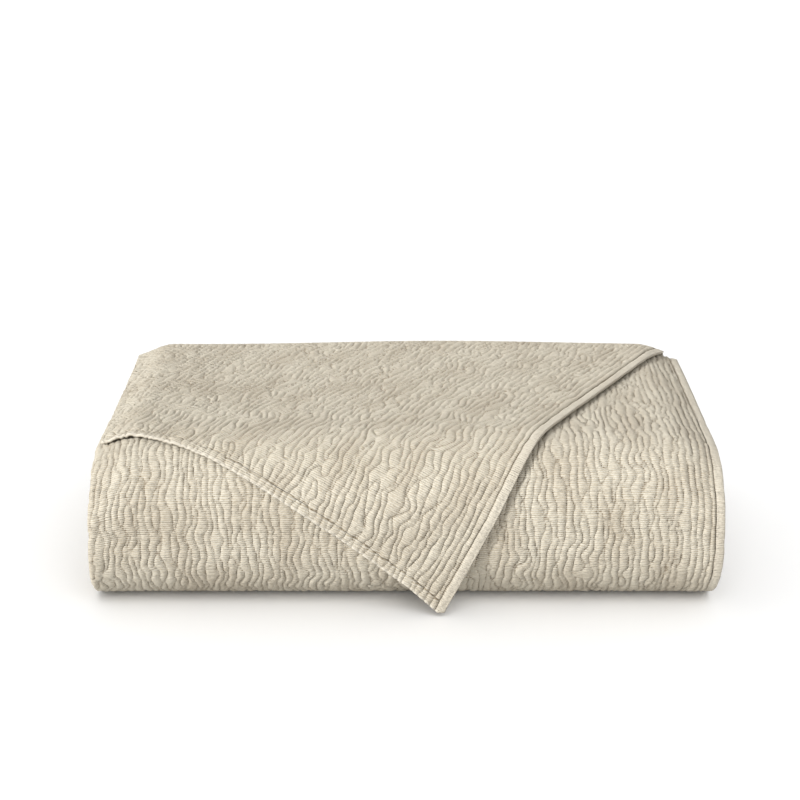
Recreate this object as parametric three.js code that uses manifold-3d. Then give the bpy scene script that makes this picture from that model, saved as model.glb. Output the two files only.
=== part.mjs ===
// Folded coverlet in puckered matelasse cotton, millimetres, +Z up, resting on z = 0.
// One cloth: folded in four across the width (X), then back and forth in seven passes whose front folds nest
// inside each other, so the front (-Y) is one full-height round fold. The top ply is drawn out over the
// front, and its hemmed corner hangs diagonally down to the surface that the bundle rests on.
import * as THREE from "three";
import Module from "manifold-3d";

// Driving dimensions
const PLY = 4.6; // one ply of the puckered cloth
const PLY_PITCH = 5.6; // centre to centre of neighbouring plies in a pack
const PASS_PITCH = 23.4; // centre to centre of neighbouring passes
const HALF_WIDTH = 305;
const FRONT_Y = -110.8; // where the straight runs end and the front folds begin
const BACK_Y = 157.6; // where the straight runs end and the back folds begin
const FRONT_RADII = [58.5, 35.1, 11.7]; // corners of the outer, middle and inner front fold
const BACK_RADIUS = PASS_PITCH / 2;
const HEM_WIDTH = 8;
const HEM_PLY = 3.6; // the stitched hem is pressed flatter than the puckered cloth
const LAP_TURN_Y = BACK_Y + 13; // where the top ply turns back on itself
const LAP_BACK = { left: -303, right: 290 }; // ends of the turn at the back
const LAP_TIP = { left: 31, right: 37.5, v: 201.5 }; // blunt lowest corner; v runs forward from the front fold
// End hem as [v, x], from the corner over the left end down to the hanging corner.
const END_HEM = [
  [10, -298], [15, -266], [22, -243], [35, -211], [49, -183], [74, -141],
  [97, -104], [123, -65], [148, -32], [174, 1.5], [LAP_TIP.v, LAP_TIP.left],
];

const PACK_HALF = 1.5 * PLY_PITCH + PLY / 2;
const passZ = (k) => PACK_HALF + (k - 1) * PASS_PITCH;
const OUTER_LAYER = 1.5 * PLY_PITCH; // centre of the outermost ply above the pack's own centre

const smooth = (a, b, x) => {
  const s = Math.min(1, Math.max(0, (x - a) / (b - a)));
  return s * s * (3 - 2 * s);
};

// Settling of the soft bundle: ends droop, middle crowns, slow unevenness; the underside stays flat.
function settle(x, y, z) {
  const up = smooth(0, 165, z);
  const left = smooth(262, 312, -x);
  const right = smooth(258, 312, x);
  const crown = 0.018 * Math.cos((Math.PI * x) / 760) - 0.006;
  const sway = 0.006 * Math.sin(x / 90 + 0.6) + 0.003 * Math.sin(x / 60 + y / 130);
  const lift = 1 + crown + sway - 0.082 * left - 0.074 * right;
  const bulge = 1.6 * Math.sin(x / 97 + 1.1) * smooth(10, 60, z) * smooth(60, -150, y);
  const foot = 1 - smooth(0, 70, z);
  const pull = 1 - smooth(150, 305, Math.abs(x)) * (x < 0 ? 0.016 * up : 0.003 * up + 0.012 * foot);
  return [x * pull + 1.2 * Math.sin(y / 90) * up, y - bulge - 2.2 * up * (left + right) * smooth(0, 180, y), z * lift];
}

// Arc in a plane as [a, b] points, angles in degrees, both ends included.
function arc(ca, cb, r, from, to, steps) {
  const out = [];
  for (let i = 0; i <= steps; i++) {
    const q = THREE.MathUtils.degToRad(from + ((to - from) * i) / steps);
    out.push([ca + r * Math.cos(q), cb + r * Math.sin(q)]);
  }
  return out;
}

// Straight run of points at one offset, leaving out its ends.
function run(xs, o) {
  return xs.map((x) => [x, o]);
}

// Cross-section of the four-ply pack in (x, offset): one cloth strip folded in an accordion.
function packOutline() {
  const r = PLY_PITCH / 2;
  const outer = r + PLY / 2;
  const inner = r - PLY / 2;
  const leftA = -HALF_WIDTH + outer;
  const leftB = -HALF_WIDTH + outer + 1.4;
  const rightU = HALF_WIDTH - outer - 1.6;
  const hemA = HALF_WIDTH;
  const hemB = HALF_WIDTH - 2.2;
  const fine = [-285, -264, -180, -70, 70, 180, 264, 285];
  const coarse = [-285, -264, 0, 264, 285];
  const back = (xs) => [...xs].reverse();
  const hem = (x, o, sign) => [
    [x - HEM_WIDTH - 2, o + (sign * PLY) / 2],
    [x - HEM_WIDTH, o + (sign * HEM_PLY) / 2],
    [x, o + (sign * HEM_PLY) / 2],
  ];
  const O = OUTER_LAYER;
  return [
    ...hem(hemA, O, 1).reverse(),
    ...run(back(fine), O + PLY / 2),
    ...arc(leftA, PLY_PITCH, outer, 90, 270, 4),
    ...run(coarse, inner),
    ...arc(rightU, 0, inner, 90, -90, 2),
    ...run(back(coarse), -inner),
    ...arc(leftB, -PLY_PITCH, outer, 90, 270, 4),
    ...run(fine, -O - PLY / 2),
    ...hem(hemB, -O, -1),
    ...hem(hemB, -O, 1).reverse(),
    ...run(back(coarse), -O + PLY / 2),
    ...arc(leftB, -PLY_PITCH, inner, 270, 90, 2),
    ...run(coarse, -outer),
    ...arc(rightU, 0, outer, -90, 90, 4),
    ...run(back(coarse), outer),
    ...arc(leftA, PLY_PITCH, inner, 270, 90, 2),
    ...run(coarse, O - PLY / 2),
    ...hem(hemA, O, -1),
  ];
}

// Stations {y, z, ty, tz} along the pack's centre line, from the top back end to the innermost pass.
function packPath() {
  const path = [];
  const put = (y, z, ty, tz) => path.push({ y, z, ty, tz });
  const turn = (cy, cz, r, from, to, steps) => {
    const s = Math.sign(to - from);
    for (let i = 0; i <= steps; i++) {
      const q = THREE.MathUtils.degToRad(from + ((to - from) * i) / steps);
      put(cy + r * Math.cos(q), cz + r * Math.sin(q), -s * Math.sin(q), s * Math.cos(q));
    }
  };
  const [R1, R2, R3] = FRONT_RADII;
  const middle = 24;
  put(LAP_TURN_Y, passZ(7), -1, 0);
  for (const y of [100, middle, -50]) put(y, passZ(7), -1, 0);
  turn(FRONT_Y, passZ(7) - R1, R1, 90, 180, 6);
  turn(FRONT_Y, passZ(1) + R1, R1, 180, 270, 6);
  put(middle, passZ(1), 1, 0);
  turn(BACK_Y, passZ(1) + BACK_RADIUS, BACK_RADIUS, -90, 90, 4);
  put(middle, passZ(2), -1, 0);
  turn(FRONT_Y, passZ(2) + R2, R2, 270, 180, 3);
  turn(FRONT_Y, passZ(6) - R2, R2, 180, 90, 3);
  put(middle, passZ(6), 1, 0);
  turn(BACK_Y, passZ(6) - BACK_RADIUS, BACK_RADIUS, 90, -90, 4);
  put(middle, passZ(5), -1, 0);
  turn(FRONT_Y, passZ(5) - R3, R3, 90, 180, 2);
  turn(FRONT_Y, passZ(3) + R3, R3, 180, 270, 2);
  put(middle, passZ(3), 1, 0);
  turn(BACK_Y, passZ(3) + BACK_RADIUS, BACK_RADIUS, -90, 90, 4);
  put(middle, passZ(4), -1, 0);
  put(-96, passZ(4), -1, 0);
  return path;
}

// Joins rings of equal length into a closed solid; caps is the triangulation of one ring.
function closedSolid(wasm, rings, caps) {
  const n = rings[0].length;
  const verts = [];
  const tris = [];
  for (const ring of rings) for (const p of ring) verts.push(...settle(...p));
  for (let k = 0; k + 1 < rings.length; k++) {
    for (let i = 0; i < n; i++) {
      const j = (i + 1) % n;
      const a = k * n + i;
      const b = k * n + j;
      tris.push(a, b, b + n, a, b + n, a + n);
    }
  }
  const last = (rings.length - 1) * n;
  for (const [a, b, c] of caps) {
    tris.push(a, c, b);
    tris.push(last + a, last + b, last + c);
  }
  return makeManifold(wasm, verts, tris);
}

// Manifold body from coordinates and triangles, turned outward if they came inside out.
function makeManifold(wasm, verts, tris) {
  const make = (order) => new wasm.Manifold(
    new wasm.Mesh({ numProp: 3, vertProperties: new Float32Array(verts), triVerts: new Uint32Array(order) }));
  const body = make(tris);
  if (body.volume() > 0) return body;
  const flipped = [];
  for (let i = 0; i < tris.length; i += 3) flipped.push(tris[i], tris[i + 2], tris[i + 1]);
  return make(flipped);
}

// The folded pack: the accordion cross-section swept along the nested back-and-forth path.
function packSolid(wasm) {
  const outline = packOutline();
  const shape = outline.map(([x, o]) => new THREE.Vector2(x, o));
  const caps = THREE.ShapeUtils.triangulateShape(shape, []);
  const rings = packPath().map(({ y, z, ty, tz }) => outline.map(([x, o]) => [x, y + o * tz, z - o * ty]));
  return closedSolid(wasm, rings, caps);
}

// Centre line of the drawn-out top ply: {y, z, ny, nz, v}, v = 0 where the front fold starts.
function lapLine() {
  const line = [];
  const z0 = passZ(7) + OUTER_LAYER;
  const r = PLY_PITCH / 2;
  const put = (y, z, ny, nz, v, half) => line.push({ y, z, ny, nz, v, half });
  const flat = (y) => FRONT_Y - y;
  put(LAP_TURN_Y - 7, z0, 0, -1, flat(LAP_TURN_Y) - r * Math.PI - 7, 1.9);
  for (let i = 0; i <= 5; i++) {
    const q = THREE.MathUtils.degToRad(-90 + (180 * i) / 5);
    const y = LAP_TURN_Y + r * Math.cos(q);
    const half = i === 0 ? 1.9 : PLY / 2;
    put(y, z0 + r + r * Math.sin(q), Math.cos(q), Math.sin(q), flat(LAP_TURN_Y) - (r * Math.PI * (5 - i)) / 5, half);
  }
  const top = z0 + PLY_PITCH;
  for (const y of [140, 90, 40, -10, -50, -85]) put(y, top, 0, 1, flat(y), PLY / 2);
  const R = FRONT_RADII[0] + OUTER_LAYER + PLY_PITCH;
  const arcLength = (R * Math.PI) / 2;
  for (const v of [0, 10, 15, 22, 35, 49, 61, 74, 85, 97, arcLength]) {
    const q = Math.PI / 2 + v / R;
    put(FRONT_Y + R * Math.cos(q), top - R + R * Math.sin(q), Math.cos(q), Math.sin(q), v, PLY / 2);
  }
  for (const v of [130, 148, 161, 174, 186, 194, LAP_TIP.v]) {
    put(FRONT_Y - R, top - R - (v - arcLength), -1, 0, v, PLY / 2);
  }
  return line;
}

// Left and right ends of the drawn-out ply where its unrolled length is v, and whether the left one is a hem.
function lapEdges(v) {
  const back = FRONT_Y - LAP_TURN_Y;
  const s = Math.max(0, (v - back) / (LAP_TIP.v - back));
  const right = LAP_BACK.right + (LAP_TIP.right - LAP_BACK.right) * s;
  const [v0, x0] = END_HEM[0];
  if (v <= v0) {
    const q = Math.max(0, (v - back) / (v0 - back));
    return [LAP_BACK.left + (x0 - LAP_BACK.left) * q, right, v > v0 - 8];
  }
  const k = END_HEM.findIndex(([w]) => w >= v - 1e-6);
  const [va, xa] = END_HEM[k - 1];
  const [vb, xb] = END_HEM[k];
  return [xa + ((xb - xa) * (v - va)) / (vb - va), right, true];
}

// The drawn-out top ply with its two hems, as rings around the ply across the width.
function lapSolid(wasm) {
  const endAngle = Math.atan2(LAP_TIP.v - END_HEM[3][0], LAP_TIP.left - END_HEM[3][1]);
  const sideAngle = Math.atan2(LAP_TIP.v - (FRONT_Y - LAP_TURN_Y), LAP_BACK.right - LAP_TIP.right);
  const endBand = [0, HEM_WIDTH, HEM_WIDTH + 2].map((d) => d / Math.sin(endAngle));
  const sideBand = [0, HEM_WIDTH, HEM_WIDTH + 2].map((d) => d / Math.sin(sideAngle));
  const inside = [0, 0.04, 0.1, 0.2, 0.32, 0.44, 0.56, 0.68, 0.8, 0.9, 0.97];
  const rings = lapLine().map(({ y, z, ny, nz, v, half }) => {
    const [left, right, hemmed] = lapEdges(v);
    const width = right - left;
    const fit = Math.min(1, width / (1.25 * (endBand[2] + sideBand[2])));
    const a = endBand.map((d) => left + d * fit);
    const b = sideBand.map((d) => right - d * fit);
    const xs = [...a, ...inside.slice(1).map((f) => a[2] + f * (b[2] - a[2])), b[2], b[1], b[0]];
    const hemHalf = Math.min(half, HEM_PLY / 2);
    const halves = xs.map((_, i) => ((i < 2 && hemmed) || i >= xs.length - 2 ? hemHalf : half));
    const top = xs.map((x, i) => [x, y + ny * halves[i], z + nz * halves[i]]);
    const under = xs.map((x, i) => [x, y - ny * halves[i], z - nz * halves[i]]);
    return [...top, ...under.reverse()];
  });
  const n = rings[0].length;
  const caps = [];
  for (let i = 0; i + 1 < n / 2; i++) {
    caps.push([i, i + 1, n - 2 - i], [i, n - 2 - i, n - 1 - i]);
  }
  return closedSolid(wasm, rings, caps);
}

// Three.js geometry of a manifold body, moved so that its box is centred on x = 0, y = 0 and rests on z = 0.
function toGeometry(body) {
  const mesh = body.getMesh();
  const geometry = new THREE.BufferGeometry();
  geometry.setAttribute("position", new THREE.BufferAttribute(new Float32Array(mesh.vertProperties), 3));
  geometry.setIndex(new THREE.BufferAttribute(new Uint32Array(mesh.triVerts), 1));
  geometry.computeBoundingBox();
  const box = geometry.boundingBox;
  geometry.translate(-(box.min.x + box.max.x) / 2, -(box.min.y + box.max.y) / 2, -box.min.z);
  geometry.computeVertexNormals();
  return geometry;
}

const wasm = await Module();
wasm.setup();

const cloth = new THREE.MeshStandardMaterial({ color: 0xc7beac, roughness: 0.92, metalness: 0 });
cloth.name = "cotton_cloth";
const coverlet = new THREE.Mesh(toGeometry(packSolid(wasm).add(lapSolid(wasm))), cloth);
coverlet.name = "coverlet";

const group = new THREE.Group();
group.name = "folded_coverlet";
group.add(coverlet);
export default group;
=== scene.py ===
"""Folded coverlet in puckered cotton: one cloth in patches that follow its folds, with hems and stitching.

The fold is worked out in millimetres, on the cloth's own flat coordinates, and each patch is a flat grid
that the fold map carries to its place in the bundle. Light, floor and camera are a plain pale studio.
"""

import logging
import math
from dataclasses import dataclass, field
from enum import Enum

import bmesh
import bpy
import numpy as np
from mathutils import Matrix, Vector


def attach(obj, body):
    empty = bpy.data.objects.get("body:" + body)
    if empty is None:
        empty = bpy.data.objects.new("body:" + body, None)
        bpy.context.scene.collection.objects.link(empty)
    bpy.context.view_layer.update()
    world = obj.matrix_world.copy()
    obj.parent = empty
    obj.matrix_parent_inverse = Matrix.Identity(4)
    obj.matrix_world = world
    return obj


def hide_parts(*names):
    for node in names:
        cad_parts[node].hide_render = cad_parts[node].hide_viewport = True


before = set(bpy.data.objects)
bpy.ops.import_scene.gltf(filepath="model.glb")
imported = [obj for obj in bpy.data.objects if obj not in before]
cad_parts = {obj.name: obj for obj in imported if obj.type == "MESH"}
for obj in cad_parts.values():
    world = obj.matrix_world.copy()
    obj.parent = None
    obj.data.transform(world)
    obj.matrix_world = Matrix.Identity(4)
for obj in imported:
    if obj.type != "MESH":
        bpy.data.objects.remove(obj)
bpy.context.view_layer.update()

logging.basicConfig(level=logging.INFO, format="%(name)s: %(message)s")
log = logging.getLogger("coverlet")

NODE = "coverlet"
BODY = "root"
MM = 0.001
Array = np.ndarray
Material = bpy.types.Material
Socket = bpy.types.NodeSocket
Stretches = tuple[tuple[float, float, float], ...]


class Held(Enum):
    """How a patch of the cloth is held."""

    FOLDED = "folded"
    DRAPED = "draped"


def srgb(value: str) -> tuple[float, float, float, float]:
    """Turn an sRGB hex colour to linear.

    Args:
        value: colour as "#rrggbb".

    Returns:
        Linear red, green, blue and an alpha of 1.
    """
    parts = [int(value[i : i + 2], 16) / 255 for i in (1, 3, 5)]
    linear = [c / 12.92 if c <= 0.04045 else ((c + 0.055) / 1.055) ** 2.4 for c in parts]
    return (linear[0], linear[1], linear[2], 1.0)


def ease(low: float, high: float, x: Array) -> Array:
    """Rise smoothly from 0 at low to 1 at high."""
    s = np.clip((x - low) / (high - low), 0.0, 1.0)
    return s * s * (3 - 2 * s)


# The fold, in millimetres


@dataclass(frozen=True)
class Settling:
    """How the fold gives way under its own weight: places in millimetres, the rest in shares of a length."""

    height: float = 165.0
    foot: float = 70.0
    left_end: tuple[float, float] = (262.0, 312.0)
    right_end: tuple[float, float] = (258.0, 312.0)
    left_sink: float = 0.082
    right_sink: float = 0.074
    crown: float = 0.018
    crown_width: float = 760.0
    crown_base: float = 0.006
    sway: float = 0.006
    ripple: float = 0.003
    bulge_mm: float = 1.6
    draw_in: tuple[float, float] = (150.0, 305.0)
    left_draw: float = 0.016
    right_draw: float = 0.003
    foot_draw: float = 0.012
    lean_mm: float = 1.2
    end_lean_mm: float = 2.2


@dataclass(frozen=True)
class FoldSizes:
    """Sizes of the folded bundle in millimetres, as the CAD solid has them."""

    ply: float = 4.6
    ply_pitch: float = 5.6
    pass_pitch: float = 23.4
    half_width: float = 305.0
    front_y: float = -110.8
    back_y: float = 157.6
    front_radii: tuple[float, float, float] = (58.5, 35.1, 11.7)
    turn_y: float = 170.6
    centre_x: float = 0.116
    centre_y: float = -3.6
    settling: Settling = Settling()

    @property
    def outer_layer(self) -> float:
        """Centre of the outermost ply above the pack's own centre."""
        return 1.5 * self.ply_pitch

    @property
    def pack_half(self) -> float:
        """Half of the four-ply pack's thickness."""
        return self.outer_layer + self.ply / 2

    def pass_z(self, k: int) -> float:
        """Height of the centre of pass k, counted from the lowest."""
        return self.pack_half + (k - 1) * self.pass_pitch

    def settle(self, x: Array, y: Array, z: Array) -> Array:
        """Settle the ideal fold as a soft bundle lies, and bring it to the model's frame.

        Args:
            x: width coordinate of the ideal fold.
            y: depth coordinate of the ideal fold.
            z: height coordinate of the ideal fold.

        Returns:
            Points in metres, one row each.
        """
        s = self.settling
        up = ease(0, s.height, z)
        foot = 1 - ease(0, s.foot, z)
        left = ease(*s.left_end, -x)
        right = ease(*s.right_end, x)
        crown = s.crown * np.cos(np.pi * x / s.crown_width) - s.crown_base
        sway = s.sway * np.sin(x / 90 + 0.6) + s.ripple * np.sin(x / 60 + y / 130)
        lift = 1 + crown + sway - s.left_sink * left - s.right_sink * right
        bulge = s.bulge_mm * np.sin(x / 97 + 1.1) * ease(10, 60, z) * ease(60, -150, y)
        drawn = np.where(x < 0, s.left_draw * up, s.right_draw * up + s.foot_draw * foot)
        pull = 1 - ease(*s.draw_in, np.abs(x)) * drawn
        lean = s.lean_mm * np.sin(y / 90) * up
        end_lean = s.end_lean_mm * up * (left + right) * ease(0, 180, y)
        out = [x * pull + lean - self.centre_x, y - bulge - end_lean - self.centre_y, z * lift]
        return np.stack(out, axis=-1) * MM


FOLD = FoldSizes()


@dataclass(frozen=True)
class Segment:
    """One straight run or one turn of the pack's centre line, seen in the YZ plane."""

    start: tuple[float, float]
    end: tuple[float, float] = (0.0, 0.0)
    radius: float = 0.0
    angles: tuple[float, float] = (0.0, 0.0)

    @property
    def sense(self) -> float:
        """1 where the outer face of the pack is outside of the turn, -1 where it is inside."""
        return math.copysign(1.0, self.angles[1] - self.angles[0])

    def length(self, offset: float) -> float:
        """Measure the segment along one ply.

        Args:
            offset: the ply's distance from the pack's centre.

        Returns:
            The ply's length over the segment.
        """
        if self.radius:
            turn = math.radians(abs(self.angles[1] - self.angles[0]))
            return turn * (self.radius + self.sense * offset)
        return math.dist(self.start, self.end)

    def place(self, f: Array) -> tuple[Array, Array, Array, Array]:
        """Find the centre line and its direction.

        Args:
            f: fraction along the segment.

        Returns:
            y, z and the direction's y and z.
        """
        if self.radius:
            q = np.radians(self.angles[0] + (self.angles[1] - self.angles[0]) * f)
            y = self.start[0] + self.radius * np.cos(q)
            z = self.start[1] + self.radius * np.sin(q)
            return y, z, -self.sense * np.sin(q), self.sense * np.cos(q)
        dy, dz = self.end[0] - self.start[0], self.end[1] - self.start[1]
        size = math.hypot(dy, dz)
        ones = np.ones_like(f)
        return self.start[0] + dy * f, self.start[1] + dz * f, ones * dy / size, ones * dz / size


@dataclass(frozen=True)
class PackPath:
    """The nested back-and-forth path of the four-ply pack."""

    sizes: FoldSizes = FOLD

    def segments(self) -> list[Segment]:
        """List the path's segments from the top back end to the innermost pass."""
        s = self.sizes
        big, mid, small = s.front_radii
        back = s.pass_pitch / 2
        front, rear = s.front_y, s.back_y
        z = [0.0] + [s.pass_z(k) for k in range(1, 8)]

        def run(y0: float, y1: float, height: float) -> Segment:
            """Straight pass at one height."""
            return Segment((y0, height), (y1, height))

        def fold(radius: float, low: int, high: int, downward: bool) -> list[Segment]:
            """Lay a front fold of two corners and the straight rise between them.

            Args:
                radius: radius of its corners.
                low: number of the pass at its foot.
                high: number of the pass at its top.
                downward: whether the path comes in at the top.

            Returns:
                Its three segments.
            """
            top, bottom = (front, z[high] - radius), (front, z[low] + radius)
            rise = Segment((front - radius, bottom[1]), (front - radius, top[1]))
            if downward:
                rise = Segment(rise.end, rise.start)
                return [
                    Segment(top, radius=radius, angles=(90, 180)),
                    rise,
                    Segment(bottom, radius=radius, angles=(180, 270)),
                ]
            return [
                Segment(bottom, radius=radius, angles=(270, 180)),
                rise,
                Segment(top, radius=radius, angles=(180, 90)),
            ]

        return [
            run(s.turn_y, front, z[7]),
            *fold(big, 1, 7, True),
            run(front, rear, z[1]),
            Segment((rear, z[1] + back), radius=back, angles=(-90, 90)),
            run(rear, front, z[2]),
            *fold(mid, 2, 6, False),
            run(front, rear, z[6]),
            Segment((rear, z[6] - back), radius=back, angles=(90, -90)),
            run(rear, front, z[5]),
            *fold(small, 3, 5, True),
            run(front, rear, z[3]),
            Segment((rear, z[3] + back), radius=back, angles=(-90, 90)),
            run(rear, -96.0, z[4]),
        ]

    def marks(self, offset: float) -> Array:
        """Length along a ply at which each segment starts, and the whole length last."""
        return np.concatenate([[0.0], np.cumsum([s.length(offset) for s in self.segments()])])

    def place(self, t: Array, offset: float) -> tuple[Array, Array, Array, Array]:
        """Find the centre line at a length along the ply that lies at an offset.

        Args:
            t: length along that ply.
            offset: the ply's distance from the pack's centre.

        Returns:
            y, z and the direction's y and z, each as t.
        """
        marks = self.marks(offset)
        segments = self.segments()
        index = np.clip(np.searchsorted(marks, t, side="right") - 1, 0, len(segments) - 1)
        out = [np.zeros_like(t) for _ in range(4)]
        for i, segment in enumerate(segments):
            here = index == i
            if here.any():
                f = (t[here] - marks[i]) / (marks[i + 1] - marks[i])
                for whole, part in zip(out, segment.place(np.clip(f, 0, 1))):
                    whole[here] = part
        return out[0], out[1], out[2], out[3]


@dataclass(frozen=True)
class Accordion:
    """The cloth's four lanes across the bundle and the turns between them."""

    sizes: FoldSizes = FOLD

    def lanes(self) -> list[tuple[float, float, float]]:
        """List each lane as its first x, last x and offset."""
        s = self.sizes
        outer = s.ply_pitch / 2 + s.ply / 2
        left_a, left_b = -s.half_width + outer, -s.half_width + outer + 1.4
        right = s.half_width - outer - 1.6
        o = s.outer_layer
        return [
            (s.half_width, left_a, o),
            (left_a, right, s.ply_pitch / 2),
            (right, left_b, -s.ply_pitch / 2),
            (left_b, s.half_width - 2.2, -o),
        ]

    def marks(self) -> Array:
        """Width of cloth at which each lane and each turn starts, and the whole width last."""
        turn = math.pi * self.sizes.ply_pitch / 2
        steps: list[float] = []
        for i, (a, b, _) in enumerate(self.lanes()):
            steps += [abs(b - a)] + ([turn] if i < 3 else [])
        return np.concatenate([[0.0], np.cumsum(steps)])

    def place(self, u: Array) -> tuple[Array, Array, Array, Array]:
        """Find where a width coordinate of the cloth lies across the pack.

        Args:
            u: width of cloth from the hem at the outermost lane.

        Returns:
            x, offset, and the cloth's normal in x and in the offset's direction.
        """
        marks = self.marks()
        index = np.clip(np.searchsorted(marks, u, side="right") - 1, 0, 6)
        x, o, nx, no = (np.zeros_like(u) for _ in range(4))
        r = self.sizes.ply_pitch / 2
        lanes = self.lanes()
        for i in range(7):
            here = index == i
            f = (u[here] - marks[i]) / (marks[i + 1] - marks[i])
            a, b, height = lanes[i // 2]
            facing = 1.0 if (i // 2) % 2 == 0 else -1.0
            if i % 2 == 0:
                x[here], o[here], no[here] = a + (b - a) * f, height, facing
                continue
            q = math.pi / 2 + math.pi * f * facing
            x[here], o[here] = b + r * np.cos(q), height - r + r * np.sin(q)
            nx[here], no[here] = facing * np.cos(q), facing * np.sin(q)
        return x, o, nx, no


@dataclass(frozen=True)
class DrawnPly:
    """The top ply drawn out over the front, with its hanging corner."""

    sizes: FoldSizes = FOLD
    back: tuple[float, float] = (-303.0, 290.0)
    tip: tuple[float, float, float] = (31.0, 37.5, 201.5)
    end_hem: tuple[tuple[float, float], ...] = (
        (10, -298), (15, -266), (22, -243), (35, -211), (49, -183), (74, -141),
        (97, -104), (123, -65), (148, -32), (174, 1.5), (201.5, 31),
    )  # fmt: skip
    tuck: float = 7.0
    hem_points: int = 160

    @property
    def bend(self) -> float:
        """Radius of the ply where it rounds the front."""
        return self.sizes.front_radii[0] + self.sizes.outer_layer + self.sizes.ply_pitch

    @property
    def first(self) -> float:
        """Unrolled place of the turn at the back; 0 is where the front fold starts."""
        return self.sizes.front_y - self.sizes.turn_y

    @property
    def start(self) -> float:
        """Unrolled place of the end that is tucked into the outermost ply."""
        return self.first - math.pi * self.sizes.ply_pitch / 2 - self.tuck

    def edges(self, v: Array) -> tuple[Array, Array]:
        """Find the ply's two ends across.

        Args:
            v: unrolled place along the ply.

        Returns:
            Width coordinates of the left and right ends.
        """
        s = np.clip((v - self.first) / (self.tip[2] - self.first), 0, 1)
        right = self.back[1] + (self.tip[1] - self.back[1]) * s
        places = [self.first] + [p[0] for p in self.end_hem]
        ends = [self.back[0]] + [p[1] for p in self.end_hem]
        return np.interp(v, places, ends), right

    def hem_distance(self, x: Array, v: Array) -> tuple[Array, Array]:
        """Measure how far points of the cloth are from its hems.

        Args:
            x: width coordinate.
            v: unrolled place along the ply.

        Returns:
            Distance in millimetres from the end hem and from the side hem.
        """
        line = np.array([(p[1], p[0]) for p in self.end_hem])
        k = np.linspace(0, len(line) - 1, self.hem_points)
        points = np.stack([np.interp(k, range(len(line)), line[:, i]) for i in (0, 1)], axis=-1)
        end = np.full(x.shape, np.inf)
        for px, pv in points:
            end = np.minimum(end, np.hypot(x - px, v - pv))
        dx, dv = self.tip[1] - self.back[1], self.tip[2] - self.first
        size = math.hypot(dx, dv)
        side = ((self.back[1] - x) * dv + (v - self.first) * dx) / size
        return end, side

    def place(self, x: Array, v: Array, rise: Array) -> Array:
        """Carry points of the flat ply to the bundle.

        Args:
            x: width coordinate.
            v: unrolled place along the ply.
            rise: distance from the ply's middle, outward.

        Returns:
            Points in metres.
        """
        s = self.sizes
        top = s.pass_z(7) + s.outer_layer + s.ply_pitch
        big, r = self.bend, s.ply_pitch / 2
        quarter = big * math.pi / 2
        q = np.clip(v / big, 0, math.pi / 2) + math.pi / 2
        back = np.clip((self.first - v) / r, 0, math.pi)
        tail = np.maximum(0, self.first - math.pi * r - v)
        y = np.where(v < 0, s.front_y - v, s.front_y + big * np.cos(q))
        z = np.where(v < 0, top, top - big + big * np.sin(q) - np.maximum(0, v - quarter))
        ny, nz = np.where(v < 0, 0.0, np.cos(q)), np.where(v < 0, 1.0, np.sin(q))
        turned = v < self.first
        y = np.where(turned, s.turn_y + r * np.sin(back) - tail, y)
        z = np.where(turned, top - r + r * np.cos(back), z)
        ny, nz = np.where(turned, np.sin(back), ny), np.where(turned, np.cos(back), nz)
        return s.settle(x, y + ny * rise, z + nz * rise)


# The puckered weave


LOW_32_BITS = 0xFFFFFFFF
LOW_24_BITS = 0xFFFFFF


def scatter(i: Array, j: Array, seed: int) -> Array:
    """Give each lattice cell its own number, the same on every run.

    Args:
        i: the cell's column.
        j: the cell's row.
        seed: picks one set of numbers out of many.

    Returns:
        Numbers from 0 to 1.
    """
    n = i.astype(np.int64) * 374761393 + j.astype(np.int64) * 668265263 + seed * 2147483647
    n = n & LOW_32_BITS
    n = ((n ^ (n >> 13)) * 1274126177) & LOW_32_BITS
    n = ((n ^ (n >> 16)) * 2246822519) & LOW_32_BITS
    return ((n ^ (n >> 15)) & LOW_24_BITS) / float(LOW_24_BITS)


def drift(a: Array, b: Array, seed: int) -> Array:
    """Smooth noise whose cells are 1 wide and 1 long.

    Args:
        a: place across the cells.
        b: place along the cells.
        seed: picks one pattern out of many.

    Returns:
        Numbers from -1 to 1.
    """
    i, j = np.floor(a), np.floor(b)
    fa, fb = a - i, b - j
    fa, fb = fa * fa * (3 - 2 * fa), fb * fb * (3 - 2 * fb)
    low = scatter(i, j, seed) * (1 - fa) + scatter(i + 1, j, seed) * fa
    high = scatter(i, j + 1, seed) * (1 - fa) + scatter(i + 1, j + 1, seed) * fa
    return (low * (1 - fb) + high * fb) * 2 - 1


@dataclass(frozen=True)
class Waver:
    """One smooth unevenness: its size, its cells' width and length in millimetres, and its seed."""

    size: float
    across: float
    along: float
    seed: int

    def at(self, a: Array, b: Array) -> Array:
        """Value at points of the cloth."""
        return self.size * drift(a / self.across, b / self.along, self.seed)


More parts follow.
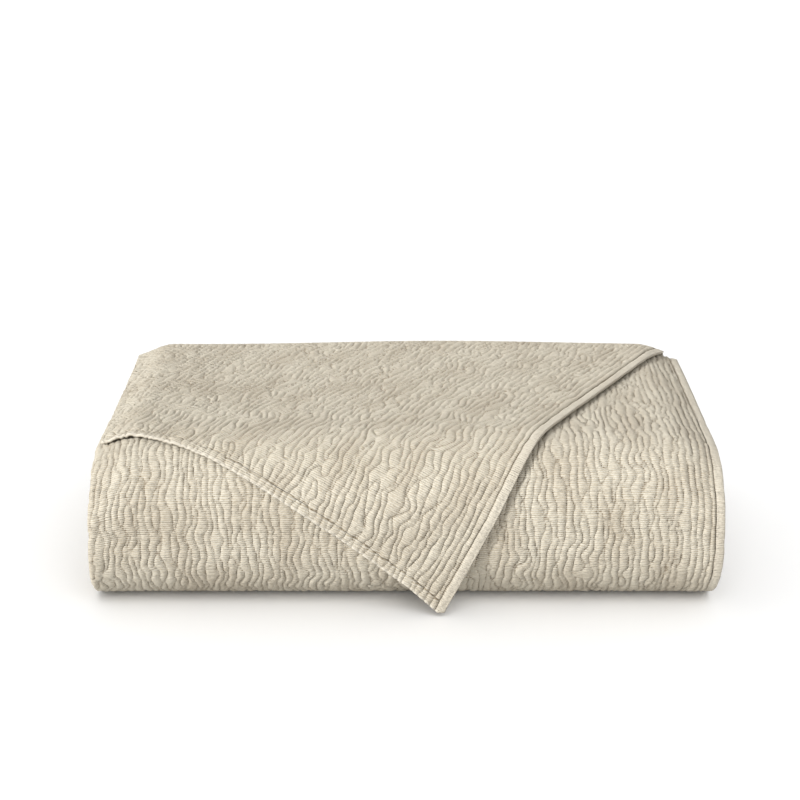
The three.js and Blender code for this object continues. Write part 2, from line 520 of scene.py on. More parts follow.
@dataclass(frozen=True)
class Pucker:
    """The weave's puckers: lens-shaped puffs between wavy seams that part and meet again.

    Sizes are in millimetres. Beside a hem the seams calm down and run almost straight.
    """

    width: float = 6.7
    length: float = 13.0
    wander: float = 1.1
    break_up: float = 0.42
    shoulder: float = 3.6
    seam: float = 1.4
    bend: Waver = Waver(4.2, 24.0, 20.0, 11)
    jog: Waver = Waver(2.0, 11.0, 10.0, 12)
    swell: Waver = Waver(0.1, 5.0, 7.0, 14)
    depth: float = 0.74
    uneven_depth: Waver = Waver(0.26, 6.0, 7.0, 15)
    probe: float = 0.5
    least_slope: float = 0.16

    def field(self, a: Array, b: Array, calm: Array) -> Array:
        """Wave across the cloth whose zero lines are the seams.

        Args:
            a: across the seams.
            b: along the seams.
            calm: 1 where the seams run almost straight, 0 elsewhere.

        Returns:
            The wave; neighbouring puffs have opposite signs.
        """
        moved = a + (1 - 0.7 * calm) * (self.bend.at(a, b) + self.jog.at(a, b))
        lens = drift(moved / (1.3 * self.width), b / (self.length * (1 + 0.8 * calm)), 16)
        small = drift(a / (0.8 * self.width), b / (0.45 * self.length), 17)
        uneven = self.wander * lens + self.break_up * small
        return np.sin(math.pi * moved / self.width) + (1 - 0.35 * calm) * uneven

    def distance(self, a: Array, b: Array, calm: Array) -> Array:
        """Measure how far each point is from the nearest seam.

        Args:
            a: across the seams.
            b: along the seams.
            calm: 1 where the seams run almost straight, 0 elsewhere.

        Returns:
            Distance in millimetres, from the wave's height and its slope.
        """
        step = self.probe
        here = self.field(a, b, calm)
        da = (self.field(a + step, b, calm) - self.field(a - step, b, calm)) / (2 * step)
        db = (self.field(a, b + step, calm) - self.field(a, b - step, calm)) / (2 * step)
        return np.abs(here) / np.maximum(np.hypot(da, db), self.least_slope)

    def relief(self, a: Array, b: Array, calm: Array) -> tuple[Array, Array]:
        """Height of the weave, and how strongly shade is painted into its seams.

        Args:
            a: across the seams.
            b: along the seams.
            calm: 1 where the seams run almost straight, 0 elsewhere.

        Returns:
            Height from 0 in a seam to 1 on a puff, and how much shade is painted into the seam's groove,
            from 0 to 1, more where it is deeper.
        """
        d = self.distance(a, b, calm)
        t = np.clip(d / self.shoulder, 0, 1)
        depth = self.depth + self.uneven_depth.at(a, b)
        height = 1 - depth * (1 - np.sin(t * math.pi / 2))
        height = height + self.swell.at(a, b) * t
        return height, (1 - ease(0, self.seam, d)) * depth


PUCKER = Pucker()


# Finishes


def add_node(material: Material, kind: str, settings: dict | None = None,
             links: dict | None = None) -> bpy.types.Node:  # fmt: skip
    """Add a shader node with its settings and its links.

    Args:
        material: material that gets the node.
        kind: the node's type.
        settings: property names, or input names or numbers, and their values.
        links: input name or number, and the output socket that feeds it.

    Returns:
        The new node.
    """
    node = material.node_tree.nodes.new(kind)
    for key, value in (settings or {}).items():
        if isinstance(key, str) and hasattr(node, key):
            setattr(node, key, value)
        else:
            node.inputs[key].default_value = value
    for key, socket in (links or {}).items():
        material.node_tree.links.new(socket, node.inputs[key])
    return node


@dataclass(frozen=True)
class Grain:
    """A fine pattern of the cloth: its features in a metre across and along, and its detail."""

    per_metre: tuple[float, float, float]
    detail: float

    def build(self, m: Material, uv: Socket) -> Socket:
        """Make the pattern.

        Args:
            m: material that gets it.
            uv: the cloth's own coordinates in metres.

        Returns:
            The pattern's value, around 0.5.
        """
        place = add_node(m, "ShaderNodeMapping", {"Scale": self.per_metre}, {"Vector": uv})
        settings = {"Scale": 1.0, "Detail": self.detail}
        return add_node(m, "ShaderNodeTexNoise", settings, {"Vector": place.outputs[0]}).outputs[0]


@dataclass(frozen=True)
class PuckeredCotton:
    """Matelasse cotton, woven and washed: matte, with pale puffs, seams and fine cross ribs.

    The puffs and seams are in the mesh; the nodes add the ribs of the weft, slubs and fuzz, and paint
    shade into the seams' grooves, the stitch grooves and the gaps between ribs. The real weft is finer
    than its ribs and slubs here, which are as coarse as they need to show.
    """

    name: str = "matelasse_cotton"
    puff: str = "#c1bbad"
    shade: str = "#b3ab9c"
    fleck: str = "#d8cfc0"
    # colour of the shade painted into the gaps between the weft's ribs
    rib_gap_shade: str = "#e2dacb"
    # colour of the shade painted into the seams' grooves and the stitch grooves
    seam: str = "#72624c"
    # colour of the paler hem bands, and of the highlight painted along the drawn ply's end hem edge
    hem: str = "#c5beb0"
    lint: str = "#fff8ea"
    rib_mm: float = 2.0
    rib_breaks_per_metre: float = 95.0  # a rib wavers and thins out every centimetre or so
    one_band: float = 0.314  # at this scale the wave texture draws one band a unit
    tones: Grain = Grain((30, 14, 1), 2.0)  # clouds of 33 by 71 mm
    slubs: Grain = Grain((190, 900, 1), 2.0)  # thick threads of 5 by 1.1 mm
    fray: Grain = Grain((300, 700, 1), 1.0)  # steps in a seam's edge of 3.3 by 1.4 mm
    crinkle: Grain = Grain((220, 500, 1), 2.0)  # crinkles of 4.5 by 2 mm
    fuzz: Grain = Grain((1500, 1500, 1), 1.0)  # tufts of 0.7 mm

    def build(self) -> Material:
        """Make the material."""
        m = bpy.data.materials.new(self.name)
        m.use_nodes = True
        m.node_tree.nodes.clear()
        uv = add_node(m, "ShaderNodeUVMap", {"uv_map": "cloth"}).outputs[0]
        ribs = self._ribs(m, uv)
        shader = add_node(
            m, "ShaderNodeBsdfPrincipled",
            {"Roughness": 0.92, "IOR": 1.46, "Specular IOR Level": 0.18, "Sheen Weight": 0.12,
             "Sheen Roughness": 0.5, "Sheen Tint": srgb(self.lint)},
            {"Base Color": self._colour(m, uv, ribs), "Normal": self._surface(m, uv, ribs)},
        )  # fmt: skip
        add_node(m, "ShaderNodeOutputMaterial", links={"Surface": shader.outputs[0]})
        return m

    def _ribs(self, m: Material, uv: Socket) -> Socket:
        """Draw the cross ribs of the weft.

        Args:
            m: material that gets them.
            uv: the cloth's own coordinates in metres.

        Returns:
            1 on a rib, 0 between two.
        """
        per_metre = (self.rib_breaks_per_metre, 1000 / self.rib_mm, 1.0)
        place = add_node(m, "ShaderNodeMapping", {"Scale": per_metre}, {"Vector": uv})
        bands = {"wave_type": "BANDS", "bands_direction": "Y", "Scale": self.one_band}
        unevenness = {"Distortion": 3.2, "Detail": 1.0, "Detail Scale": 0.6}
        wave = add_node(m, "ShaderNodeTexWave", bands | unevenness, {"Vector": place.outputs[0]})
        return wave.outputs["Fac"]

    def _colour(self, m: Material, uv: Socket, ribs: Socket) -> Socket:
        """Lay the colours over each other: tones, slubs, painted shade in the gaps between ribs and in the
        frayed seams, and paler hems with a painted highlight on the drawn ply's end hem edge.

        Args:
            m: material that gets them.
            uv: the cloth's own coordinates in metres.
            ribs: the cross ribs.

        Returns:
            The cloth's colour.
        """
        plain = {"data_type": "RGBA"}
        darker = plain | {"blend_type": "MULTIPLY"}
        seam = add_node(m, "ShaderNodeAttribute", {"attribute_name": "seam"}).outputs["Fac"]
        hem = add_node(m, "ShaderNodeAttribute", {"attribute_name": "hem"}).outputs["Fac"]
        cloud = add_node(m, "ShaderNodeMapRange", {1: 0.3, 2: 0.62}, {0: self.tones.build(m, uv)})
        tone = add_node(m, "ShaderNodeMix", plain | {6: srgb(self.shade), 7: srgb(self.puff)},
                        {0: cloud.outputs[0]})  # fmt: skip
        slub = add_node(m, "ShaderNodeMapRange", {1: 0.52, 2: 0.85}, {0: self.slubs.build(m, uv)})
        flecked = add_node(m, "ShaderNodeMix", darker | {7: srgb(self.fleck)},
                           {0: slub.outputs[0], 6: tone.outputs[2]})  # fmt: skip
        # painted shade: the gaps between the ribs are darkened
        shade_between_ribs = add_node(m, "ShaderNodeMapRange", {1: 0.5, 2: -0.15}, {0: ribs})
        ribbed = add_node(m, "ShaderNodeMix", darker | {7: srgb(self.rib_gap_shade)},
                          {0: shade_between_ribs.outputs[0], 6: flecked.outputs[2]})  # fmt: skip
        # painted shade in the seams' grooves and stitch grooves, with a frayed edge, broken up by the ribs
        frayed = add_node(m, "ShaderNodeMath", {"operation": "MULTIPLY_ADD", 1: 1.3},
                          {0: self.fray.build(m, uv), 2: seam})  # fmt: skip
        line = add_node(m, "ShaderNodeMapRange", {1: 0.86, 2: 1.2}, {0: frayed.outputs[0]})
        low = add_node(m, "ShaderNodeMapRange", {1: 1.2, 2: -0.1}, {0: ribs})
        notched = add_node(m, "ShaderNodeMath", {"operation": "MULTIPLY"},
                           {0: line.outputs[0], 1: low.outputs[0]})  # fmt: skip
        painted_seam_shade = add_node(m, "ShaderNodeMix", plain | {7: srgb(self.seam)},
                          {0: notched.outputs[0], 6: ribbed.outputs[2]})  # fmt: skip
        # paler hem bands, and a painted highlight along the drawn ply's end hem edge
        hemmed = add_node(m, "ShaderNodeMix", plain | {7: srgb(self.hem)}, {0: hem, 6: painted_seam_shade.outputs[2]})
        return hemmed.outputs[2]

    def _surface(self, m: Material, uv: Socket, ribs: Socket) -> Socket:
        """Roughen the surface with crinkles, ribs and fuzz, each in its own height in metres.

        Args:
            m: material that gets them.
            uv: the cloth's own coordinates in metres.
            ribs: the cross ribs.

        Returns:
            The surface's normal.
        """
        crinkled = add_node(m, "ShaderNodeBump", {"Strength": 0.9, "Distance": 0.0017},
                            {"Height": self.crinkle.build(m, uv)})  # fmt: skip
        ribbed = add_node(m, "ShaderNodeBump", {"Strength": 0.6, "Distance": 0.0008},
                          {"Height": ribs, "Normal": crinkled.outputs[0]})  # fmt: skip
        fuzzy = add_node(m, "ShaderNodeBump", {"Strength": 0.25, "Distance": 0.0004},
                         {"Height": self.fuzz.build(m, uv), "Normal": ribbed.outputs[0]})  # fmt: skip
        return fuzzy.outputs[0]


@dataclass(frozen=True)
class StudioFloor:
    """Matte white paper sweep: it takes the bundle's soft contact shadow and nothing else."""

    name: str = "white_paper"
    colour: str = "#fbfbfb"

    def build(self) -> Material:
        """Make the material."""
        m = bpy.data.materials.new(self.name)
        m.use_nodes = True
        m.node_tree.nodes.clear()
        matte = {"Base Color": srgb(self.colour), "Roughness": 1.0, "Specular IOR Level": 0.0}
        shader = add_node(m, "ShaderNodeBsdfPrincipled", matte)
        add_node(m, "ShaderNodeOutputMaterial", links={"Surface": shader.outputs[0]})
        return m


# Patches of the cloth


def flat_grid(columns: int, rows: int) -> tuple[bpy.types.Mesh, Array, Array]:
    """Make a flat grid of cells.

    Args:
        columns: number of points across.
        rows: number of points along.

    Returns:
        The mesh, and each point's column and row number.
    """
    bm = bmesh.new()
    bmesh.ops.create_grid(bm, x_segments=columns - 1, y_segments=rows - 1, size=0.5)
    mesh = bpy.data.meshes.new("patch")
    bm.to_mesh(mesh)
    bm.free()
    flat = np.empty(len(mesh.vertices) * 3)
    mesh.vertices.foreach_get("co", flat)
    flat = flat.reshape(-1, 3)
    i = np.rint((flat[:, 0] + 0.5) * (columns - 1)).astype(int)
    j = np.rint((flat[:, 1] + 0.5) * (rows - 1)).astype(int)
    return mesh, i, j


@dataclass
class ClothWorkshop:
    """Turns flat grids into finished pieces of the one cloth."""

    thickness_mm: float = 2.8
    relief_mm: float = 2.4
    relief_level: float = 0.62  # share of the relief that lies under the ply's middle
    made: list[bpy.types.Object] = field(default_factory=list)

    def finish(self, name: str, mesh: bpy.types.Mesh, points: Array, pattern: Array, seam: Array,
               hem: Array, cuts: Array, flat_mm: tuple[float, float], held: Held,
               cut_mm2: float | None = None) -> bpy.types.Object:  # fmt: skip
        """Give a grid its shape, pattern and thickness, and attach it to the body.

        Args:
            name: name of the piece.
            mesh: the flat grid.
            points: place of each point, in metres.
            pattern: the cloth's own coordinates of each point, in millimetres.
            seam: how strongly shade is painted into the seam's groove at each point.
            hem: how far each point is lightened towards the hem colour, from 0 to 1: the paler hem bands,
                and a highlight painted along the drawn ply's end hem edge.
            cuts: which points lie where the next patch of the cloth goes on.
            flat_mm: size of the patch when it is flat; not used.
            held: how it is held; not used.
            cut_mm2: flat area of the patch where its cut isn't a rectangle; not used.

        Returns:
            The finished object.
        """
        mesh.vertices.foreach_set("co", np.ascontiguousarray(points, dtype=np.float32).ravel())
        loops = np.empty(len(mesh.loops), dtype=np.int32)
        mesh.loops.foreach_get("vertex_index", loops)
        layer = mesh.uv_layers.new(name="cloth")
        layer.data.foreach_set("uv", (pattern[loops] * MM).astype(np.float32).ravel())
        # seam paints shade into the grooves; hem lightens the hem bands and paints a highlight on the end
        # hem edge
        for name_of, values in (("seam", seam), ("hem", hem)):
            attribute = mesh.attributes.new(name_of, "FLOAT", "POINT")
            attribute.data.foreach_set("value", values.astype(np.float32))
        mesh.polygons.foreach_set("use_smooth", np.ones(len(mesh.polygons), dtype=bool))
        ends = np.empty(len(mesh.edges) * 2, dtype=np.int32)
        mesh.edges.foreach_get("vertices", ends)
        cut = cuts[ends.reshape(-1, 2)].all(axis=1)
        mesh.attributes.new("sharp_edge", "BOOLEAN", "EDGE").data.foreach_set("value", cut)
        mesh.name = name
        mesh.update()
        piece = bpy.data.objects.new(name, mesh)
        bpy.context.scene.collection.objects.link(piece)
        solid = piece.modifiers.new("ply", "SOLIDIFY")
        solid.thickness = self.thickness_mm * MM
        solid.offset = 0.0
        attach(piece, BODY)
        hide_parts(NODE)
        self.made.append(piece)
        log.info("%s: %d faces before thickness", name, len(mesh.polygons))
        return piece


@dataclass(frozen=True)
class Patch:
    """Where a patch of the folded pack lies on the flat cloth, and how finely it is cut into cells.

    The lane counts from the outermost ply, and each stretch across and along is its start, its end and
    the largest size of its cells, in millimetres.
    """

    name: str
    lane: int
    across: Stretches
    along: Stretches
    relief: float = 1.0
    plain_from: float | None = None
    relief_at_ends_only: bool = False


def spaced(stretches: Stretches) -> Array:
    """Space points over stretches.

    Args:
        stretches: start, end and largest step of each.

    Returns:
        The points' places.
    """
    out: list[float] = [stretches[0][0]]
    for a, b, step in stretches:
        n = max(1, math.ceil(abs(b - a) / step))
        out += list(np.linspace(a, b, n + 1)[1:])
    return np.array(out)


@dataclass
class FoldedPack:
    """The folded bundle under the drawn-out ply, as patches of one cloth."""

    shop: ClothWorkshop
    path: PackPath = field(default_factory=PackPath)
    accordion: Accordion = field(default_factory=Accordion)
    turn_mm: float = 8.8  # cloth in the turn between two lanes
    lap_mm: float = 3.0  # how far a patch runs past its turn, under the next one
    first_mm: float = 0.5  # where the patches start, just inside the end hem
    fold_lap_mm: float = 14.0  # how far an outer back fold runs on into its passes
    inner_lap_mm: float = 12.0
    hem_waver: Waver = Waver(0.5, 8.0, 60.0, 21)

    def patches(self) -> list[Patch]:
        """List the patches, finest where the eye is led to."""
        marks = self.accordion.marks()
        lane = marks[1]
        turn = (lane, marks[2] + self.lap_mm, 1.5)
        out = self.path.marks(FOLD.outer_layer)
        inn = self.path.marks(-FOLD.outer_layer)
        mid = self.path.marks(0.0)
        wide = ((0, 12, 1.0), (12, lane, 1.55), turn)
        fair = ((0, 12, 1.2), (12, lane, 2.6), turn)
        cover = ((0, 135, 1.9), (135, lane - 60, 13), (lane - 60, lane, 4), turn)
        plain = ((0, 10, 2.5), (10, 60, 5), (60, lane - 60, 12), (lane - 60, lane - 10, 5),
                 (lane - 10, lane, 2.5), turn)  # fmt: skip
        top_cut, middle_cut, foot_cut, back_cut = out[1] - 72, out[2] + 8, out[4] + 26, out[5] - 8
        lap, inner_lap = self.fold_lap_mm, self.inner_lap_mm
        low_end, mid_start, mid_end = out[6] + lap, out[17] - lap, out[18] + lap
        high_start, high_end = inn[11] - inner_lap, inn[12] + inner_lap
        second, third = self._ends(lane + self.turn_mm, marks[3]), self._ends(marks[3], marks[5])
        fourth, fourth_fine = self._ends(marks[5], marks[7]), self._ends(marks[5], marks[7], 2.3)
        whole = self._stretches(mid, 0, 18, self.first_mm, mid[19])
        deep = self._stretches(out, 6, 17, low_end, mid_start)
        upper = self._stretches(inn, 0, 11, self.first_mm, high_start)
        core = self._stretches(inn, 12, 18, high_end, inn[19])
        return [
            Patch("front_ply_upper", 0, wide, ((top_cut, middle_cut, 2.6),)),
            Patch("front_ply_lower", 0, wide, ((middle_cut, foot_cut, 2.6),)),
            Patch("top_ply", 0, cover, ((self.first_mm, top_cut, 4),), plain_from=118),
            Patch("under_ply", 0, fair, ((foot_cut, back_cut, 5),), relief=0.8),
            Patch("low_back_fold", 0, fair, ((back_cut, low_end, 3.2),)),
            Patch("deep_ply_outer", 0, plain, deep, relief_at_ends_only=True),
            Patch("mid_back_fold", 0, fair, ((mid_start, mid_end, 3.2),)),
            Patch("core_ply_outer", 0, plain, ((mid_end, out[19], 8),), relief_at_ends_only=True),
            Patch("second_ply", 1, second, whole, relief_at_ends_only=True),
            Patch("third_ply", 2, third, whole, relief_at_ends_only=True),
            Patch("inner_ply_upper", 3, fourth, upper, relief_at_ends_only=True),
            Patch("high_back_fold", 3, fourth_fine, ((high_start, high_end, 3.2),)),
            Patch("inner_ply_core", 3, fourth, core, relief_at_ends_only=True),
        ]

    def _ends(self, a: float, b: float, middle: float = 30.0) -> Stretches:
        """Cut a lane and its first turn into cells: small at both ends, larger in the middle.

        Args:
            a: width of cloth at which the lane starts.
            b: width of cloth at which it ends.
            middle: size of the cells in the middle.

        Returns:
            The stretches across.
        """
        last = min(b + self.turn_mm / 2, self.accordion.marks()[7])
        return ((a - 0.01, a + self.turn_mm, 1.5), (a + self.turn_mm, a + 50, 4), (a + 50, b - 50, middle),
                (b - 50, b, 4), (b, last, 1.5))  # fmt: skip

    def _stretches(self, marks: Array, first: int, last: int, start: float, end: float) -> Stretches:
        """Cut the path into cells: small in its turns, larger on its runs.

        Args:
            marks: length along the ply at which each segment starts.
            first: number of the first segment.
            last: number of the last segment.
            start: length at which the patch starts.
            end: length at which it ends.

        Returns:
            The stretches along.
        """
        segments = self.path.segments()
        out = []
        for i in range(first, last + 1):
            a, b = max(start, marks[i]), min(end, marks[i + 1])
            if b - a > 0.01:
                out.append((float(a), float(b), 3.5 if segments[i].radius else 10.0))
        return tuple(out)

    def build(self) -> None:
        """Make every patch."""
        for patch in self.patches():
            self.make(patch)

    def make(self, patch: Patch) -> None:
        """Make one patch of the pack.

        Args:
            patch: where it lies and how finely it is cut.
        """
        offset = [FOLD.outer_layer, 0.0, 0.0, -FOLD.outer_layer][patch.lane]
        us, ts = spaced(patch.across), spaced(patch.along)
        mesh, i, j = flat_grid(len(us), len(ts))
        u, t = us[i], ts[j]
        total = self.accordion.marks()[-1]
        hem = np.minimum(u, total - u)
        height, seam = PUCKER.relief(u, t, 1 - ease(20, 60, hem))
        height, seam = hem_band(height, seam, hem + self.hem_waver.at(t, u), puffy=0.25)
        strength = np.full(u.shape, patch.relief)
        if patch.relief_at_ends_only:
            low, high = us[0], us[-1]
            strength = strength * (1 - ease(35, 60, np.minimum(u - low, high - u)))
        if patch.plain_from is not None:
            strength = strength * (1 - ease(patch.plain_from, patch.plain_from + 15, u))
        rise = (height - self.shop.relief_level) * self.shop.relief_mm * strength
        x, o, nx, no = self.accordion.place(u)
        y, z, ty, tz = self.path.place(t, offset)
        o, x = o + no * rise, x + nx * rise
        lowest = self.shop.thickness_mm / 2 + 0.1
        points = FOLD.settle(x, y + o * tz, np.maximum(z - o * ty, lowest))
        size = (float(us[-1] - us[0]), float(ts[-1] - ts[0]))
        cuts = (j == 0) | (j == len(ts) - 1)
        pattern = np.stack([u, t], axis=-1)
        # paler hem band; the seam strength paints shade into the seams' grooves, less where the relief is
        # lower
        hem_lightening = 0.4 * (1 - ease(7.0, 8.4, hem))
        self.shop.finish(patch.name, mesh, points, pattern, seam * strength, hem_lightening, cuts, size, Held.FOLDED)


def hem_band(height: Array, seam: Array, distance: Array, width: float = 8.8, puffy: float = 0.0,
             stitch: float = 1.0) -> tuple[Array, Array]:  # fmt: skip
    """Press the weave flat in a hem's band and sink the stitch line beside it, with shade painted into its
    groove.

    Args:
        height: height of the weave.
        seam: seam strength of the weave.
        distance: distance from the hem's edge, in millimetres.
        width: width of the band, in millimetres.
        puffy: how much of the puckers still shows in the band.
        stitch: how strongly the stitch line is drawn in.

    Returns:
        The new height, and the seam strength that paints shade into the seams and the stitch groove.
    """
    line_width, stitch_groove_shade = 0.95, 1.8  # painted shade in the stitch line's groove, stronger than in the weave's seams
    flat_height, rounded_off, rounding = 0.72, 0.12, 2.5
    band = 1 - ease(width - 1.6, width - 0.2, distance)
    line = stitch * np.exp(-(((distance - width) / line_width) ** 2))
    keep = 1 - band * (1 - puffy)
    height = height * keep + (flat_height - rounded_off * ease(rounding, 0, distance)) * (1 - keep)
    height = height * (1 - 0.75 * line) - 0.35 * line
    return height, np.maximum(seam * keep, stitch_groove_shade * line)


@dataclass
class DrawnCorner:
    """The drawn-out top ply with its hemmed corner that hangs over the front."""

    shop: ClothWorkshop
    ply: DrawnPly = field(default_factory=DrawnPly)
    near_mm: tuple[float, ...] = (0, 1.2, 2.6, 4.2, 5.8, 7.2, 8.1, 8.8, 9.5, 10.4, 11.6, 13.0)
    slant: float = 1.13  # a level row crosses the side hem aslant, and is longer there by this much
    cut: float = -30.0
    top_columns: int = 300
    corner_columns: int = 290
    corner_rows: int = 145
    end_hem_mm: float = 9.5
    side_hem_mm: float = 9.0
    hem_lift_mm: float = 1.3  # the hems are turned twice, so their outer face stands out by two more layers
    pattern_shift: float = 400.0  # keeps this ply's seams from repeating those of the pack
    hem_waver: Waver = Waver(0.5, 8.0, 8.0, 22)

    def across(self, left: Array, right: Array, i: Array) -> Array:
        """Places of the columns on top; those near the side hem keep their distance from it.

        Args:
            left: left end of each point's row.
            right: right end of each point's row.
            i: number of each point's column.

        Returns:
            Width coordinate of each point.
        """
        near, last = self.slant * np.array(self.near_mm), len(self.near_mm) - 1
        k = self.top_columns - 1 - i
        x = left + (right - near[-1] - left) * np.clip(i / (self.top_columns - 1 - last), 0, 1)
        return np.where(k < last, right - near[np.minimum(k, last)], x)

    def hanging(self, i: Array, j: Array) -> tuple[Array, Array]:
        """Places on the hanging corner, whose columns run with the seams, from the cut down to the end hem.

        Args:
            i: number of each point's column, from the left end to the side hem.
            j: number of each point's row, from the cut to the end hem.

        Returns:
            Width coordinate and unrolled place of each point.
        """
        p, near = self.ply, np.array(self.near_mm)
        columns, rows = self.corner_columns, self.corner_rows
        hem = np.array([(p.tip[1], p.tip[2])] + [(x, v) for v, x in reversed(p.end_hem)])
        runs = np.concatenate([[0], np.cumsum(np.hypot(*np.diff(hem, axis=0).T))])
        left, right = (float(end[0]) for end in p.edges(np.array([self.cut])))
        n = columns - len(near) + 1
        on_top = self.slant * near
        top = right - np.concatenate([on_top[:-1], np.linspace(on_top[-1], right - left, n)])
        foot = np.concatenate([near[:-1], np.linspace(near[-1], runs[-1], n)])
        k = columns - 1 - i
        foot_x, foot_v = np.interp(foot, runs, hem[:, 0])[k], np.interp(foot, runs, hem[:, 1])[k]
        top_x = top[k]
        length = np.hypot(foot_x - top_x, foot_v - self.cut)
        last = len(near) - 1
        up = rows - 1 - j
        main = 1 - (1 - near[-1] / length) * (1 - j / (rows - 1 - last)) - near[-1] / length
        share = np.where(up < last, 1 - near[np.minimum(up, last)] / length, main)
        return top_x + (foot_x - top_x) * share, self.cut + (foot_v - self.cut) * share

    def weave_axes(self, x: Array, v: Array) -> Array:
        """Find the cloth's own coordinates.

        Args:
            x: width coordinate.
            v: unrolled place along the ply.

        Returns:
            Across the seams and along them, which is along the side hem, one row for each point.
        """
        p = self.ply
        dx, dv = p.back[1] - p.tip[1], p.first - p.tip[2]
        size = math.hypot(dx, dv)
        px, pv = x - p.tip[1], v - p.tip[2]
        across = (px * dv - pv * dx) / size
        along = (px * dx + pv * dv) / size
        return np.stack([across, along], axis=-1)

    def flat_area(self, vs: Array) -> float:
        """Add up the ply's flat area in square millimetres over strips between unrolled places."""
        left, right = self.ply.edges(vs)
        return float(np.sum((right - left)[1:] * np.diff(vs)))

    def build(self) -> None:
        """Make the ply: the part that lies on top, and the part that goes over the front."""
        p = self.ply
        turn_start = p.first - FOLD.ply_pitch / 2 * math.pi
        tail, turn = (p.start, turn_start, 3.5), (turn_start, p.first, 1.4)
        vs = spaced((tail, turn, (p.first, self.cut, 2.3)))
        mesh, i, j = flat_grid(self.top_columns, len(vs))
        v = vs[j]
        x = self.across(*p.edges(v), i)
        self.make("drawn_ply_top", mesh, x, v, self.flat_area(vs))
        mesh, i, j = flat_grid(self.corner_columns, self.corner_rows)
        area = self.flat_area(np.linspace(self.cut, p.tip[2], 200))
        self.make("drawn_ply_corner", mesh, *self.hanging(i, j), area)

    def make(self, name: str, mesh: bpy.types.Mesh, x: Array, v: Array, area: float) -> None:
        """Make one part of the ply.

        Args:
            name: name of the piece.
            mesh: its flat grid.
            x: width coordinate of each point.
            v: unrolled place of each point.
            area: flat area in square millimetres.
        """
        p = self.ply
        end, side = p.hem_distance(x, v)
        pattern = self.weave_axes(x, v)
        across, along = pattern[:, 0], pattern[:, 1]
        height, seam = PUCKER.relief(across + self.pattern_shift, along, 1 - ease(14, 46, side))
        waver = self.hem_waver.at(across, along)
        height, seam = hem_band(height, seam, end + waver, self.end_hem_mm, puffy=0.8, stitch=0.55)
        height, seam = hem_band(height, seam, side + waver, self.side_hem_mm, puffy=0.25)
        tucked = ease(p.first - 4, p.first + 8, v)
        thick = self.hem_lift_mm * (1 - ease(6.5, 13.0, np.minimum(end, side))) * ease(0, 25, v)
        points = p.place(x, v, (height - self.shop.relief_level) * self.shop.relief_mm * tucked + thick)
        # the side hem band is paler; the last few millimetres of the end hem's edge get a painted highlight
        # and no painted seam shade
        hem_lightening = np.maximum(0.85 - 0.85 * ease(1.4, 3.0, end), 0.4 * (1 - ease(7.2, 8.6, side)))
        flat = (float(x.max() - x.min()), float(v.max() - v.min()))
        cuts = np.isclose(v, self.cut)
        shaded_seams = seam * (1 - hem_lightening)
        self.shop.finish(name, mesh, points, pattern, shaded_seams, hem_lightening, cuts, flat, Held.DRAPED, area)


# Studio


@dataclass(frozen=True)
class Lamp:
    """A far, soft light: where it comes from, how strong it is and how wide it looks."""

    name: str
    source: tuple[float, float, float]
    strength: float
    spread_deg: float


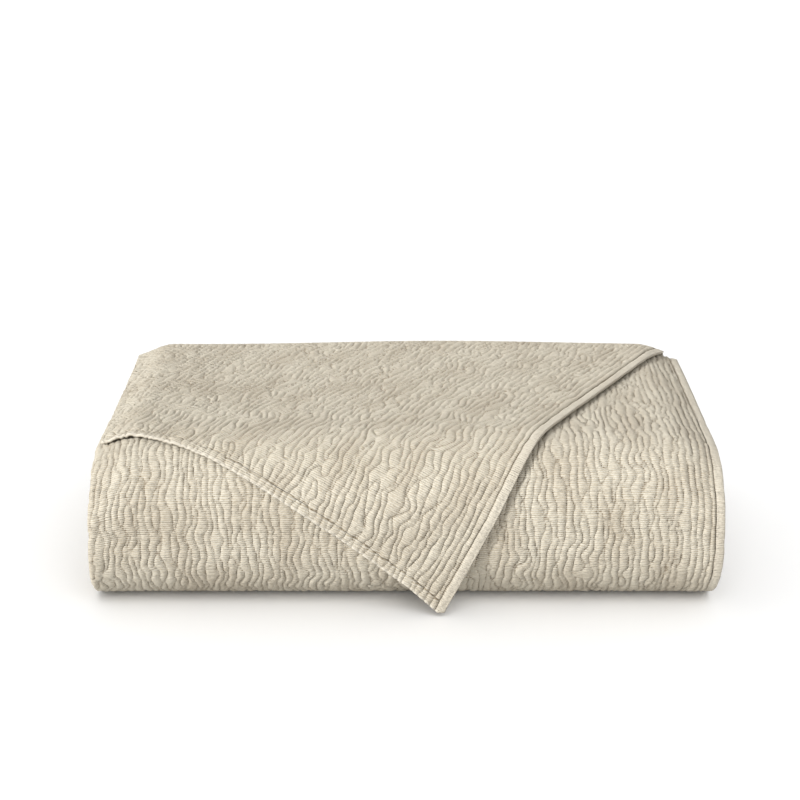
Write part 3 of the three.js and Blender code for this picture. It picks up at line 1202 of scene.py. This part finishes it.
@dataclass(frozen=True)
class Studio:
    """Pale floor, soft light from the upper left and front, and the camera."""

    key: Lamp = Lamp("key", (-1.0, -0.7, 0.68), 4.1, 16.0)
    floor_fill: Lamp = Lamp("floor_fill", (0.1, -0.9, 0.9), 1.45, 50.0)
    overhead: float = 0.8
    horizon: float = 1.08
    horizon_band: tuple[float, float] = (0.1, 0.4)
    floor_half: float = 20.0
    tilt_deg: float = 18.74
    reach: float = 1.6587
    aim: tuple[float, float, float] = (-0.0051, -0.175, 0.2183)
    sensor_mm: float = 36.0
    lens_mm: float = 80.58
    far: float = 50.0

    def build(self, cloth: list[bpy.types.Object]) -> None:
        """Make the floor, the lights and the camera.

        Args:
            cloth: the pieces that the key light falls on; it throws no long shadow on the floor.
        """
        floor = self._floor()
        self._world()
        self._sun(self.key, cloth)
        self._sun(self.floor_fill, [floor])
        self._camera()

    def _floor(self) -> bpy.types.Object:
        """Add the floor.

        Returns:
            The floor.
        """
        bm = bmesh.new()
        bmesh.ops.create_grid(bm, x_segments=1, y_segments=1, size=self.floor_half)
        mesh = bpy.data.meshes.new("floor")
        bm.to_mesh(mesh)
        bm.free()
        mesh.materials.append(StudioFloor().build())
        floor = bpy.data.objects.new("floor", mesh)
        bpy.context.scene.collection.objects.link(floor)
        return floor

    def _world(self) -> None:
        """Light the studio from all round, a little more from the sweep that closes the floor off."""
        world = bpy.data.worlds.new("studio")
        world.use_nodes = True
        tree = world.node_tree
        back = tree.nodes["Background"]
        back.inputs["Color"].default_value = (1.0, 1.0, 1.0, 1.0)
        way = tree.nodes.new("ShaderNodeTexCoord")
        parts = tree.nodes.new("ShaderNodeSeparateXYZ")
        span = tree.nodes.new("ShaderNodeMapRange")
        for socket, value in enumerate((*self.horizon_band, self.horizon, self.overhead), start=1):
            span.inputs[socket].default_value = value
        tree.links.new(way.outputs["Generated"], parts.inputs[0])
        tree.links.new(parts.outputs[2], span.inputs[0])
        tree.links.new(span.outputs[0], back.inputs["Strength"])
        bpy.context.scene.world = world

    def _sun(self, lamp: Lamp, lit: list[bpy.types.Object]) -> None:
        """Add a lamp that shines on the given things alone.

        Args:
            lamp: the light.
            lit: what it falls on.
        """
        light = bpy.data.lights.new(lamp.name, "SUN")
        light.energy, light.angle = lamp.strength, math.radians(lamp.spread_deg)
        sun = bpy.data.objects.new(lamp.name, light)
        sun.location = lamp.source
        sun.rotation_euler = (-Vector(lamp.source)).to_track_quat("-Z", "Y").to_euler()
        bpy.context.scene.collection.objects.link(sun)
        receivers = bpy.data.collections.new(f"{lamp.name}_receivers")
        for thing in lit:
            receivers.objects.link(thing)
        sun.light_linking.receiver_collection = receivers

    def _camera(self) -> None:
        """Add the camera."""
        data = bpy.data.cameras.new("camera")
        data.sensor_width, data.lens = self.sensor_mm, self.lens_mm
        data.clip_end = self.far
        camera = bpy.data.objects.new("camera", data)
        tilt = math.radians(self.tilt_deg)
        ahead = Vector((0, math.cos(tilt), -math.sin(tilt)))
        camera.location = Vector(self.aim) - ahead * self.reach
        camera.rotation_euler = (math.pi / 2 - tilt, 0, 0)
        bpy.context.scene.collection.objects.link(camera)
        bpy.context.scene.camera = camera


def main() -> None:
    """Build the coverlet and its studio, and report each piece."""
    shop = ClothWorkshop()
    FoldedPack(shop).build()
    DrawnCorner(shop).build()
    cotton = PuckeredCotton().build()
    for piece in shop.made:
        piece.data.materials.append(cotton)
    Studio().build(shop.made)
    bpy.context.scene.view_settings.view_transform = "Standard"
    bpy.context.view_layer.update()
    log.info("%d pieces of cloth", len(shop.made))


if __name__ == "__main__":
    main()
